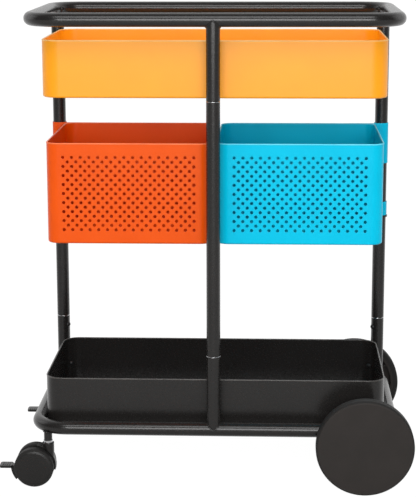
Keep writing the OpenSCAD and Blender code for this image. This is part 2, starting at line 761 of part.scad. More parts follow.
// Brake pedal: two ears on the pin, an arm outside the wheels and a ribbed pad
module caster_pedal(side) {
    pad_end = -caster_trail - pedal_reach;
    pad_top = caster_r - pad_drop + pad_t;
    rib_span = (pad_rib_count - 1) * pad_rib_pitch;
    color(plastic_black) at_caster(side) difference() {
        union() {
            at_axle() linear_extrude(arm_t, center = true) union() {
                translate([pivot_x, pivot_z]) circle(r = ear_r);
                rotate([0, 0, pivot_a]) translate([pivot_l, -strut_h / 2])
                    square([arm_in + arm_h / 2 - pivot_l, strut_h]);
                difference() {
                    slice(arm_out, arm_high, arm_low);
                    circle(r = arm_in);
                }
            }
            translate([pad_end + pad_l / 2, 0, caster_r - pad_drop])
                linear_extrude(pad_t) round_rect(pad_l, pad_w, pad_r);
            for (i = [0:pad_rib_count - 1])
                translate([pad_end + (pad_l - rib_span) / 2 + pad_rib_pitch * i, 0, pad_top])
                    rotate([90, 0, 0]) cylinder(r = pad_rib_r, h = pad_w - 2 * pad_rib_side, center = true);
        }
        at_axle() translate([pivot_x, pivot_z, 0])
            cylinder(r = lug_r + lug_gap, h = lug_t + 2 * body_gap, center = true);
        at_axle() translate([pivot_x, pivot_z, 0])
            cylinder(r = pivot_r + run_gap, h = 2 * hood_t, center = true);
    }
}

module caster_pedal_pin(side) {
    color(zinc) at_caster(side) at_axle() translate([pivot_x, pivot_z, 0])
        cylinder(r = pivot_r, h = arm_t, center = true);
}

top_loop();
bottom_loop();
front_post();
rear_post(-1);  // left_post
rear_post(1);  // right_post
joint_plugs();
joint_bolts();
post_collars();
top_tray();
bottom_tray();
tray_spacers();
tray_screws();
color(basket_orange) basket(-1);  // left_basket
color(basket_orange) basket_sleeves(-1);  // left_basket_sleeves
color(basket_cyan) basket(1);  // right_basket
color(basket_cyan) basket_sleeves(1);  // right_basket_sleeves
axle_tube();
axle_bushes();
wheel_axle();
axle_clips();
wheel_core(-1);  // front_wheel_core
wheel_tyre(-1);  // front_wheel_tyre
wheel_cover(-1);  // front_wheel_cover
wheel_core(1);  // rear_wheel_core
wheel_tyre(1);  // rear_wheel_tyre
wheel_cover(1);  // rear_wheel_cover
caster_stem(-1);  // front_caster_stem
caster_hood(-1);  // front_caster_hood
caster_axle(-1);  // front_caster_axle
caster_wheel(-1, 1);  // front_caster_outer_wheel
caster_tyre(-1, 1);  // front_caster_outer_tyre
caster_wheel(-1, -1);  // front_caster_inner_wheel
caster_tyre(-1, -1);  // front_caster_inner_tyre
caster_pedal(-1);  // front_caster_pedal
caster_pedal_pin(-1);  // front_caster_pedal_pin
caster_stem(1);  // rear_caster_stem
caster_hood(1);  // rear_caster_hood
caster_axle(1);  // rear_caster_axle
caster_wheel(1, 1);  // rear_caster_outer_wheel
caster_tyre(1, 1);  // rear_caster_outer_tyre
caster_wheel(1, -1);  // rear_caster_inner_wheel
caster_tyre(1, -1);  // rear_caster_inner_tyre
caster_pedal(1);  // rear_caster_pedal
caster_pedal_pin(1);  // rear_caster_pedal_pin
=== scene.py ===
"""Utility cart: finishes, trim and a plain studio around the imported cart.

Metres, +Z up, floor at Z = 0, front of the cart towards -Y. Sizes of the cart's pieces and of patterns
are in millimetres. Places and sizes in the studio are in metres.
"""
import logging
import math
from dataclasses import dataclass, field, replace
from enum import Enum
from typing import Callable, Optional, Sequence, Union

import bpy
import numpy as np
from mathutils import Matrix, Vector


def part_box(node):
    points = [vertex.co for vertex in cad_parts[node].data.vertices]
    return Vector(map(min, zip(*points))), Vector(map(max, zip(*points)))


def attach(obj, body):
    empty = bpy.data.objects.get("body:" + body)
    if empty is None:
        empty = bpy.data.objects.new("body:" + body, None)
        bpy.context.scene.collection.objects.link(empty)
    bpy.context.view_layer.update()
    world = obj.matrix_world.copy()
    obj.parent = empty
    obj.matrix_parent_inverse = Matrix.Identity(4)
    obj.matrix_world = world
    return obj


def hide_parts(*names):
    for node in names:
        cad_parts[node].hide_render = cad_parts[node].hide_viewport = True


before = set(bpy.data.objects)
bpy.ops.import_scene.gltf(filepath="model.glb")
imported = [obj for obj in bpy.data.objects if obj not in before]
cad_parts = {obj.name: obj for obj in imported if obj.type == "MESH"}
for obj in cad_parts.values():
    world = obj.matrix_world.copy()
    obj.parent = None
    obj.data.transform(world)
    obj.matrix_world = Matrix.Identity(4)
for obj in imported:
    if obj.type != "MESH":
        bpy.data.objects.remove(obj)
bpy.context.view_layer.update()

MM = 0.001
LOG = logging.getLogger("cart")

# A Mix node's sockets go by number, because their names repeat.
FACTOR = 0
VALUE_A, VALUE_B, MIXED_VALUE = 2, 3, 0
COLOUR_A, COLOUR_B, MIXED_COLOUR = 6, 7, 2

# Nearly all of a noise's values lie in this span.
NOISE_SPAN = {"From Min": 0.3, "From Max": 0.7}

Tree = bpy.types.NodeTree
Socket = bpy.types.NodeSocket
Point = tuple[float, float, float]
BareMesh = tuple[np.ndarray, list[tuple[int, ...]]]     # vertices in metres, and the corners of each face


class Slot(Enum):
    """The finishes named in the cart's record."""

    FRAME = "frame_paint"
    YELLOW = "yellow_paint"
    ORANGE = "orange_paint"
    CYAN = "cyan_paint"
    ZINC = "zinc_steel"
    SCREWS = "black_screws"
    CHROME = "chrome_stem"
    NYLON = "nylon"
    WHEEL = "wheel_plastic"
    CASTER = "caster_plastic"
    TYRE = "tyre_rubber"


Materials = dict[Slot, bpy.types.Material]


class Side(Enum):
    """The front and the rear of the cart, by the word that starts their node names."""

    FRONT = "front"
    REAR = "rear"


def linear(hex_colour: str) -> tuple[float, float, float, float]:
    """Turns an sRGB hex colour to linear RGBA.

    Args:
        hex_colour: Colour as "#rrggbb".

    Returns:
        Linear red, green, blue and an alpha of 1.
    """
    parts = [int(hex_colour[i:i + 2], 16) / 255 for i in (1, 3, 5)]
    low = 0.04045
    return (*(c / 12.92 if c <= low else ((c + 0.055) / 1.055) ** 2.4 for c in parts), 1.0)


def per_metre(size_mm: float) -> float:
    """Scale of a pattern whose features are size_mm apart, in object coordinates."""
    return 1 / (size_mm * MM)


def add_node(
    tree: Tree,
    kind: str,
    inputs: Optional[dict[Union[str, int], object]] = None,
    settings: Optional[dict[str, object]] = None,
) -> bpy.types.Node:
    """Adds a node with its settings and its links.

    Args:
        tree: Node tree that gets the node.
        kind: Type of the node.
        inputs: By the name or number of each input, the output socket that feeds it, or its value.
        settings: Properties by name.

    Returns:
        The new node.
    """
    node = tree.nodes.new(kind)
    for key, value in (settings or {}).items():
        setattr(node, key, value)
    for key, value in (inputs or {}).items():
        if isinstance(value, Socket):
            tree.links.new(value, node.inputs[key])
        else:
            node.inputs[key].default_value = value
    return node


def new_material(name: str) -> tuple[bpy.types.Material, Tree, Socket]:
    """Starts an empty material.

    Args:
        name: Name of the material.

    Returns:
        The material, its node tree and its object coordinates.
    """
    material = bpy.data.materials.new(name)
    material.use_nodes = True
    tree = material.node_tree
    tree.nodes.clear()
    coords = add_node(tree, "ShaderNodeTexCoord").outputs["Object"]
    return material, tree, coords


def patches(
    tree: Tree, coords: Socket, size_mm: float, low: float, high: float, detail: float = 2.0
) -> Socket:
    """Soft irregular patches.

    Args:
        tree: Node tree.
        coords: Object coordinates.
        size_mm: Distance between patches in millimetres.
        low: Value between the patches.
        high: Value inside the patches.
        detail: Octaves of finer noise.

    Returns:
        The pattern, from low to high.
    """
    noise = add_node(tree, "ShaderNodeTexNoise", {
        "Vector": coords, "Scale": per_metre(size_mm), "Detail": detail,
    })
    return add_node(tree, "ShaderNodeMapRange", NOISE_SPAN | {
        "Value": noise.outputs["Fac"], "To Min": low, "To Max": high,
    }).outputs["Result"]


def two_tones(
    tree: Tree, coords: Socket, size_mm: float, tones: tuple[str, str], share: float, detail: float = 2.0
) -> Socket:
    """Colour that drifts from one tone towards another.

    Args:
        tree: Node tree.
        coords: Object coordinates.
        size_mm: Distance between patches of the second tone in millimetres.
        tones: The two hex colours.
        share: Most of the second tone, from 0 to 1.
        detail: Octaves of finer noise.

    Returns:
        The colour.
    """
    amount = patches(tree, coords, size_mm, 0.0, share, detail)
    return add_node(
        tree, "ShaderNodeMix",
        {FACTOR: amount, COLOUR_A: linear(tones[0]), COLOUR_B: linear(tones[1])},
        {"data_type": "RGBA"},
    ).outputs[MIXED_COLOUR]


def edge_mask(tree: Tree, width_mm: float) -> tuple[Socket, Socket]:
    """Finds the edges of a piece.

    Args:
        tree: Node tree.
        width_mm: How far from an edge the mask reaches.

    Returns:
        A mask that is 1 on edges, and a normal that rounds them.
    """
    bevel = add_node(tree, "ShaderNodeBevel", {"Radius": width_mm * MM}, {"samples": 4})
    rounded = bevel.outputs["Normal"]
    true = add_node(tree, "ShaderNodeNewGeometry").outputs["Normal"]
    alike = add_node(tree, "ShaderNodeVectorMath", {0: rounded, 1: true}, {"operation": "DOT_PRODUCT"})
    on_edge, on_flat = 0.90, 0.995      # cosines of the angle between the two normals
    mask = add_node(tree, "ShaderNodeMapRange", {
        "Value": alike.outputs["Value"], "From Min": on_edge, "From Max": on_flat,
        "To Min": 1.0, "To Max": 0.0,
    })
    return mask.outputs["Result"], rounded


def worn_colour(
    tree: Tree, coords: Socket, base: Socket, worn: str, edge: Socket, size_mm: float,
    share: tuple[float, float],
) -> Socket:
    """Colour of a piece whose edges are worn in patches.

    Args:
        tree: Node tree.
        coords: Object coordinates.
        base: Colour of the piece.
        worn: Hex colour of worn edges.
        edge: Mask of the edges.
        size_mm: Distance between worn patches in millimetres.
        share: Least and most wear on an edge, from 0 to 1.

    Returns:
        The colour.
    """
    wear = patches(tree, coords, size_mm, *share, detail=4.0)
    amount = add_node(tree, "ShaderNodeMath", {0: edge, 1: wear}, {"operation": "MULTIPLY"}).outputs[0]
    return add_node(
        tree, "ShaderNodeMix",
        {FACTOR: amount, COLOUR_A: base, COLOUR_B: linear(worn)},
        {"data_type": "RGBA"},
    ).outputs[MIXED_COLOUR]


@dataclass(frozen=True)
class PowderCoat:
    """Polyester powder baked on steel.

    A satin skin that breaks highlights with a fine orange peel, a little darker where it lies thick and
    paler where its edges wear through; over a rolled rim that pale colour is a painted highlight.
    """

    name: str
    colour: str
    deep: str                   # where the coat lies thicker
    rubbed_and_rim_highlight: str                 # on worn edges, and over a whole rolled rim as a painted highlight
    roughness: float = 0.3
    specular: float = 0.3
    ior: float = 1.5
    peel_mm: float = 2.6        # real orange peel is about 1 mm; drawn coarser so that it shows
    peel_bump: float = 0.05
    peel_depth_mm: float = 0.05
    peel_rough: tuple[float, float] = (-0.02, 0.03)     # added to the roughness, from pits to crests
    tone_mm: float = 70.0
    tone_share: float = 0.5     # of the deep colour, at most
    wear_mm: float = 9.0
    wear: tuple[float, float] = (0.15, 0.75)            # least and most, on an edge
    edge_mm: float = 0.7

    def on_rim(self) -> "PowderCoat":
        """The same coat painted in its pale colour over a rolled rim: a painted highlight that gives the
        sheet a pale outline.
        """
        # The whole rim takes the pale colour, a painted highlight along the sheet's edge.
        return replace(self, name=f"{self.name}_painted_rim_highlight", colour=self.rubbed_and_rim_highlight, deep=self.colour)

    def build(self) -> bpy.types.Material:
        """Makes the material.

        Returns:
            The material.
        """
        material, tree, coords = new_material(self.name)
        coat = two_tones(tree, coords, self.tone_mm, (self.colour, self.deep), self.tone_share)
        edge, rounded = edge_mask(tree, self.edge_mm)
        colour = worn_colour(tree, coords, coat, self.rubbed_and_rim_highlight, edge, self.wear_mm, self.wear)
        peel = add_node(tree, "ShaderNodeTexNoise", {
            "Vector": coords, "Scale": per_metre(self.peel_mm), "Detail": 1.0,
        }).outputs["Fac"]
        rough = add_node(tree, "ShaderNodeMapRange", NOISE_SPAN | {
            "Value": peel,
            "To Min": self.roughness + self.peel_rough[0],
            "To Max": self.roughness + self.peel_rough[1],
        })
        bump = add_node(tree, "ShaderNodeBump", {
            "Strength": self.peel_bump, "Distance": self.peel_depth_mm * MM,
            "Height": peel, "Normal": rounded,
        })
        shader = add_node(tree, "ShaderNodeBsdfPrincipled", {
            "Base Color": colour, "Roughness": rough.outputs["Result"],
            "IOR": self.ior, "Specular IOR Level": self.specular,
            "Normal": bump.outputs["Normal"],
        })
        add_node(tree, "ShaderNodeOutputMaterial", {"Surface": shader.outputs[0]})
        return material


@dataclass(frozen=True)
class MouldedPlastic:
    """Injection moulded polypropylene or nylon.

    Matt spark-eroded grain that spreads the light, faint flow marks, and pale scuffs on edges.
    """

    name: str
    colour: str
    flow: str                   # of the faint flow marks
    scuffed: str                # of scuffed edges
    roughness: float = 0.5
    specular: float = 0.3
    ior: float = 1.49
    grain_mm: float = 1.6       # real mould grain is about 0.3 mm; drawn coarser so that it shows
    grain_bump: float = 0.16
    grain_depth_mm: float = 0.06
    grain_rough: tuple[float, float] = (-0.05, 0.06)    # added to the roughness, from pits to crests
    flow_mm: float = 32.0
    flow_share: float = 0.8     # of the flow colour, at most
    scuff_mm: float = 6.0
    scuffs: tuple[float, float] = (0.1, 0.8)            # least and most, on an edge
    edge_mm: float = 0.6

    def build(self) -> bpy.types.Material:
        """Makes the material.

        Returns:
            The material.
        """
        material, tree, coords = new_material(self.name)
        body = two_tones(
            tree, coords, self.flow_mm, (self.colour, self.flow), self.flow_share, detail=3.0
        )
        edge, rounded = edge_mask(tree, self.edge_mm)
        colour = worn_colour(tree, coords, body, self.scuffed, edge, self.scuff_mm, self.scuffs)
        grain = add_node(tree, "ShaderNodeTexNoise", {
            "Vector": coords, "Scale": per_metre(self.grain_mm), "Detail": 2.0,
        }).outputs["Fac"]
        rough = add_node(tree, "ShaderNodeMapRange", NOISE_SPAN | {
            "Value": grain,
            "To Min": self.roughness + self.grain_rough[0],
            "To Max": self.roughness + self.grain_rough[1],
        })
        bump = add_node(tree, "ShaderNodeBump", {
            "Strength": self.grain_bump, "Distance": self.grain_depth_mm * MM,
            "Height": grain, "Normal": rounded,
        })
        shader = add_node(tree, "ShaderNodeBsdfPrincipled", {
            "Base Color": colour, "Roughness": rough.outputs["Result"],
            "IOR": self.ior, "Specular IOR Level": self.specular,
            "Normal": bump.outputs["Normal"],
        })
        add_node(tree, "ShaderNodeOutputMaterial", {"Surface": shader.outputs[0]})
        return material


@dataclass(frozen=True)
class Rubber:
    """Thermoplastic rubber tyre, moulded.

    Matt black, greyed by floor dust in patches, with a fine pebbled skin.
    """

    name: str
    colour: str
    dust: str
    roughness: float = 0.62
    dusty_rough: float = 0.15   # how much rougher the dustiest places are
    specular: float = 0.4
    ior: float = 1.52
    dust_mm: float = 14.0
    dust_share: tuple[float, float] = (0.05, 0.55)      # least and most
    pebble_mm: float = 1.2      # real skin is about 0.2 mm; drawn coarser so that it shows
    pebble_bump: float = 0.2
    pebble_depth_mm: float = 0.08

    def build(self) -> bpy.types.Material:
        """Makes the material.

        Returns:
            The material.
        """
        material, tree, coords = new_material(self.name)
        clean, dusty = self.dust_share
        dust = patches(tree, coords, self.dust_mm, clean, dusty, detail=5.0)
        colour = add_node(
            tree, "ShaderNodeMix",
            {FACTOR: dust, COLOUR_A: linear(self.colour), COLOUR_B: linear(self.dust)},
            {"data_type": "RGBA"},
        ).outputs[MIXED_COLOUR]
        pebbles = add_node(tree, "ShaderNodeTexNoise", {
            "Vector": coords, "Scale": per_metre(self.pebble_mm), "Detail": 2.0,
        })
        rough = add_node(tree, "ShaderNodeMapRange", {
            "Value": dust, "From Min": clean, "From Max": dusty,
            "To Min": self.roughness, "To Max": self.roughness + self.dusty_rough,
        })
        bump = add_node(tree, "ShaderNodeBump", {
            "Strength": self.pebble_bump, "Distance": self.pebble_depth_mm * MM,
            "Height": pebbles.outputs["Fac"],
        })
        shader = add_node(tree, "ShaderNodeBsdfPrincipled", {
            "Base Color": colour, "Roughness": rough.outputs["Result"],
            "IOR": self.ior, "Specular IOR Level": self.specular,
            "Normal": bump.outputs["Normal"],
        })
        add_node(tree, "ShaderNodeOutputMaterial", {"Surface": shader.outputs[0]})
        return material


@dataclass(frozen=True)
class PlatedSteel:
    """Electroplated steel.

    Zinc is cloudy and satin, chrome mirrors the studio; both carry faint smears and drawing marks.
    """

    name: str
    colour: str
    cloud: str
    roughness: float
    cloud_mm: float = 5.0
    smear: float = 0.08         # how much rougher the smears are
    drawn_mm: float = 0.9
    drawn_bump: float = 0.05
    drawn_depth_mm: float = 0.02

    def build(self) -> bpy.types.Material:
        """Makes the material.

        Returns:
            The material.
        """
        material, tree, coords = new_material(self.name)
        clouds = add_node(tree, "ShaderNodeTexNoise", {
            "Vector": coords, "Scale": per_metre(self.cloud_mm), "Detail": 4.0,
        }).outputs["Fac"]
        cloudy = add_node(tree, "ShaderNodeMapRange", NOISE_SPAN | {
            "Value": clouds, "To Min": 0.0, "To Max": 1.0,
        }).outputs["Result"]
        colour = add_node(
            tree, "ShaderNodeMix",
            {FACTOR: cloudy, COLOUR_A: linear(self.colour), COLOUR_B: linear(self.cloud)},
            {"data_type": "RGBA"},
        ).outputs[MIXED_COLOUR]
        rough = add_node(tree, "ShaderNodeMapRange", NOISE_SPAN | {
            "Value": clouds, "To Min": self.roughness, "To Max": self.roughness + self.smear,
        })
        drawn = add_node(tree, "ShaderNodeTexNoise", {
            "Vector": coords, "Scale": per_metre(self.drawn_mm), "Detail": 1.0,
        })
        bump = add_node(tree, "ShaderNodeBump", {
            "Strength": self.drawn_bump, "Distance": self.drawn_depth_mm * MM,
            "Height": drawn.outputs["Fac"],
        })
        shader = add_node(tree, "ShaderNodeBsdfPrincipled", {
            "Base Color": colour, "Metallic": 1.0, "Roughness": rough.outputs["Result"],
            "Normal": bump.outputs["Normal"],
        })
        add_node(tree, "ShaderNodeOutputMaterial", {"Surface": shader.outputs[0]})
        return material


FINISHES = {
    # Each coat's third colour is for worn edges and, over rolled rims, a painted highlight.
    # Satin black that reads as charcoal, with a broad soft highlight along each tube.
    Slot.FRAME: PowderCoat(
        "powder_coat_satin_black", "#1d1b1a", "#181716", "#4a4744",
        roughness=0.25, specular=0.55, peel_bump=0.025,
    ),
    # Warm amber that glows inside the tray, where the walls light each other.
    Slot.YELLOW: PowderCoat(
        "powder_coat_amber", "#fea407", "#fa9c05", "#ffd68c", roughness=0.34, specular=0.5,
    ),
    # Strong orange with a thin bright rim.
    # Strong orange; its thin bright rim is a painted highlight in the pale third colour.
    Slot.ORANGE: PowderCoat(
        "powder_coat_orange", "#e95505", "#e24f03", "#ff8a58", specular=0.22,
    ),
    # Clear cyan, with little shine so that it stays saturated.
    Slot.CYAN: PowderCoat(
        "powder_coat_cyan", "#00bfe2", "#00b7da", "#6fe0f4", specular=0.12,
    ),
    # Bluish grey and cloudy, on parts that are half hidden.
    Slot.ZINC: PlatedSteel("zinc_plate", "#b9bcc0", "#a6abb2", 0.3),
    # A thin dark skin, duller than the tubes around it.
    Slot.SCREWS: PowderCoat(
        "black_oxide_steel", "#1c1c1d", "#161617", "#4a4a4a", roughness=0.42, specular=0.5,
    ),
    # A mirror that picks out small bright rings.
    Slot.CHROME: PlatedSteel("chrome_plate", "#d9dadc", "#cfd1d4", 0.07),
    # Faintly blue black, with a soft sheen.
    Slot.NYLON: MouldedPlastic(
        "moulded_nylon", "#26262a", "#212125", "#4a4a4e", roughness=0.4,
    ),
    # Warm dark grey, flat and matt, so that the big discs stay quiet.
    Slot.WHEEL: MouldedPlastic(
        "moulded_polypropylene", "#312d2b", "#2c2927", "#55504c", roughness=0.55, specular=0.2,
    ),
    # Deeper and glossier than the big wheels.
    Slot.CASTER: MouldedPlastic(
        "moulded_caster_nylon", "#1c1b1a", "#181716", "#55534f", roughness=0.3, specular=0.45,
    ),
    # Nearly black, and dusty in patches.
    Slot.TYRE: Rubber("thermoplastic_rubber", "#131211", "#262422"),
}


def new_piece(name: str, bare: BareMesh, smooth: bool = True) -> bpy.types.Object:
    """Makes a mesh piece.

    Args:
        name: Name of the piece.
        bare: Its vertices and faces.
        smooth: Whether its faces shade smoothly.

    Returns:
        The piece.
    """
    vertices, faces = bare
    mesh = bpy.data.meshes.new(name)
    mesh.from_pydata([tuple(v) for v in vertices], [], faces)
    mesh.validate()
    mesh.polygons.foreach_set("use_smooth", [smooth] * len(mesh.polygons))
    piece = bpy.data.objects.new(name, mesh)
    bpy.context.scene.collection.objects.link(piece)
    return piece


def skin(rings: np.ndarray, closed: bool = False) -> BareMesh:
    """Joins rings of points with four-sided faces.

    Args:
        rings: Points as ring, point and coordinate.
        closed: Whether the last ring joins the first; otherwise both ends are capped.

    Returns:
        The vertices and the faces.
    """
    count, sides = rings.shape[:2]
    faces: list[tuple[int, ...]] = []
    for i in range(count if closed else count - 1):
        a, b = i * sides, (i + 1) % count * sides
        faces += [(a + j, a + (j + 1) % sides, b + (j + 1) % sides, b + j) for j in range(sides)]
    if not closed:
        faces.append(tuple(range(sides - 1, -1, -1)))
        faces.append(tuple(range((count - 1) * sides, count * sides)))
    return rings.reshape(-1, 3), faces


def bead(path: np.ndarray, radius: Callable[[float], float], sides: int = 10) -> BareMesh:
    """Sweeps a round section along a closed path.

    Args:
        path: Points of the path in metres.
        radius: Radius in metres at a distance along the path.
        sides: Points around the section.

    Returns:
        The vertices and the faces.
    """
    ahead = np.roll(path, -1, 0) - np.roll(path, 1, 0)
    ahead /= np.linalg.norm(ahead, axis=1)[:, None]
    up = np.array([0.0, 0.0, 1.0])
    out = np.cross(ahead, up)
    out /= np.linalg.norm(out, axis=1)[:, None]
    top = np.cross(out, ahead)
    steps = np.linalg.norm(np.roll(path, -1, 0) - path, axis=1)
    reach = np.concatenate([[0.0], np.cumsum(steps)[:-1]])
    size = np.array([radius(float(s)) for s in reach])[:, None, None]
    turn = np.linspace(0, 2 * np.pi, sides, endpoint=False)
    section = out[:, None] * np.cos(turn)[None, :, None] + top[:, None] * np.sin(turn)[None, :, None]
    return skin(path[:, None] + size * section, closed=True)


def join_parts(parts: Sequence[BareMesh]) -> BareMesh:
    """Puts several bare meshes into one.

    Args:
        parts: Vertices and faces of each.

    Returns:
        The vertices and the faces of all.
    """
    vertices, faces, start = [], [], 0
    for points, corners in parts:
        vertices.append(points)
        faces += [tuple(start + c for c in face) for face in corners]
        start += len(points)
    return np.concatenate(vertices), faces


def round_rect(low: Vector, high: Vector, radius: float, height: float, steps: int = 10) -> np.ndarray:
    """Level path around a rectangle with round corners.

    Args:
        low: Corner with the lowest X and Y.
        high: Corner with the highest X and Y.
        radius: Corner radius in metres.
        height: Height of the path.
        steps: Straight steps in each corner.

    Returns:
        Points of the path, anticlockwise.
    """
    corners = ((high.x, high.y), (low.x, high.y), (low.x, low.y), (high.x, low.y))
    path = []
    for i, (x, y) in enumerate(corners):
        middle = (x - math.copysign(radius, x - (low.x + high.x) / 2),
                  y - math.copysign(radius, y - (low.y + high.y) / 2))
        for k in range(steps + 1):
            angle = math.radians(90 * i + 90 * k / steps)
            right, back = radius * math.cos(angle), radius * math.sin(angle)
            path.append((middle[0] + right, middle[1] + back, height))
    return np.array(path)


def dress(nodes: Sequence[str], slot: Slot, materials: Materials) -> None:
    """Gives CAD nodes their finish.

    Args:
        nodes: Names of the nodes.
        slot: Finish.
        materials: Material of each finish.
    """
    for name in nodes:
        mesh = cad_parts[name].data
        mesh.materials.clear()
        mesh.materials.append(materials[slot])


@dataclass
class SubAssembly:
    """What every sub-assembly needs: the materials, and a way to finish a new piece."""

    materials: Materials
    made: list[bpy.types.Object] = field(default_factory=list)

    def finish(
        self, piece: bpy.types.Object, body: str, slot: Slot, replaced: Sequence[str] = ()
    ) -> bpy.types.Object:
        """Gives a new piece its material, its slot and its body.

        Args:
            piece: The piece.
            body: CAD body that it moves with.
            slot: Its finish.
            replaced: CAD nodes that it stands for.

        Returns:
            The piece.
        """
        piece.data.materials.append(self.materials[slot])
        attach(piece, body)
        if replaced:
            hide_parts(*replaced)
        self.made.append(piece)
        LOG.info("%s: %d faces, rides on %s", piece.name, len(piece.data.polygons), body)
        return piece

    def build(self) -> None:
        """Dresses its nodes and makes its new pieces, in a way of its own in each sub-assembly."""
        raise NotImplementedError


@dataclass
class ButtonHead:
    """Domed screw with a hexagon socket, along +Z with its head's underside at Z = 0."""

    head_r: float = 4.5
    head_h: float = 3.0
    shank_r: float = 2.5
    shank_l: float = 10.0
    socket: float = 3.0             # across flats
    socket_depth: float = 1.7
    dome: tuple[float, ...] = (0.15, 0.4, 0.62, 0.8, 0.92)     # rings of the dome, as shares of head_h
    chamfer_w: float = 0.35         # around the socket
    chamfer_rise: float = 0.03      # of its outer edge above the dome's last ring
    chamfer_drop: float = 0.2       # of its inner edge below that ring
    sides: int = 24

    def ring(self, radius: float, height: float, hexagon: bool = False) -> list[Point]:
        """One ring of points.

        Args:
            radius: Radius, or half the width across flats.
            height: Height of the ring.
            hexagon: Whether the ring is six-sided, not round.

        Returns:
            The points in millimetres.
        """
        points = []
        for i in range(self.sides):
            angle = 2 * math.pi * i / self.sides
            off = (angle + math.pi / 6) % (math.pi / 3) - math.pi / 6
            size = radius / math.cos(off) if hexagon else radius
            points.append((size * math.cos(angle), size * math.sin(angle), height))
        return points

    def build(self) -> BareMesh:
        """Makes the screw's bare mesh.

        Returns:
            The vertices and the faces.
        """
        flat = self.socket / 2
        dome_r = (self.head_r ** 2 + self.head_h ** 2) / (2 * self.head_h)
        rings = [
            self.ring(self.shank_r, self.shank_l),
            self.ring(self.shank_r, 0),
            self.ring(self.head_r, 0),
        ]
        for share in self.dome:
            height = -self.head_h * share
            below = height + self.head_h - dome_r
            rings.append(self.ring(math.sqrt(dome_r ** 2 - below ** 2), height))
        top = -self.head_h * self.dome[-1]
        rings.append(self.ring(flat + self.chamfer_w, top - self.chamfer_rise, hexagon=True))
        rings.append(self.ring(flat, top + self.chamfer_drop, hexagon=True))
        rings.append(self.ring(flat, top + self.socket_depth, hexagon=True))
        return skin(np.array(rings[::-1]) * MM)

    def placed(self, seat: Vector, direction: Vector) -> BareMesh:
        """The screw's bare mesh with its head's underside at seat, its shank along direction.

        Args:
            seat: Point under the head, in metres.
            direction: Direction of the shank.

        Returns:
            The vertices and the faces.
        """
        vertices, faces = self.build()
        turn = direction.to_track_quat("Z", "Y").to_matrix()
        return vertices @ np.array(turn).T + np.array(seat), faces


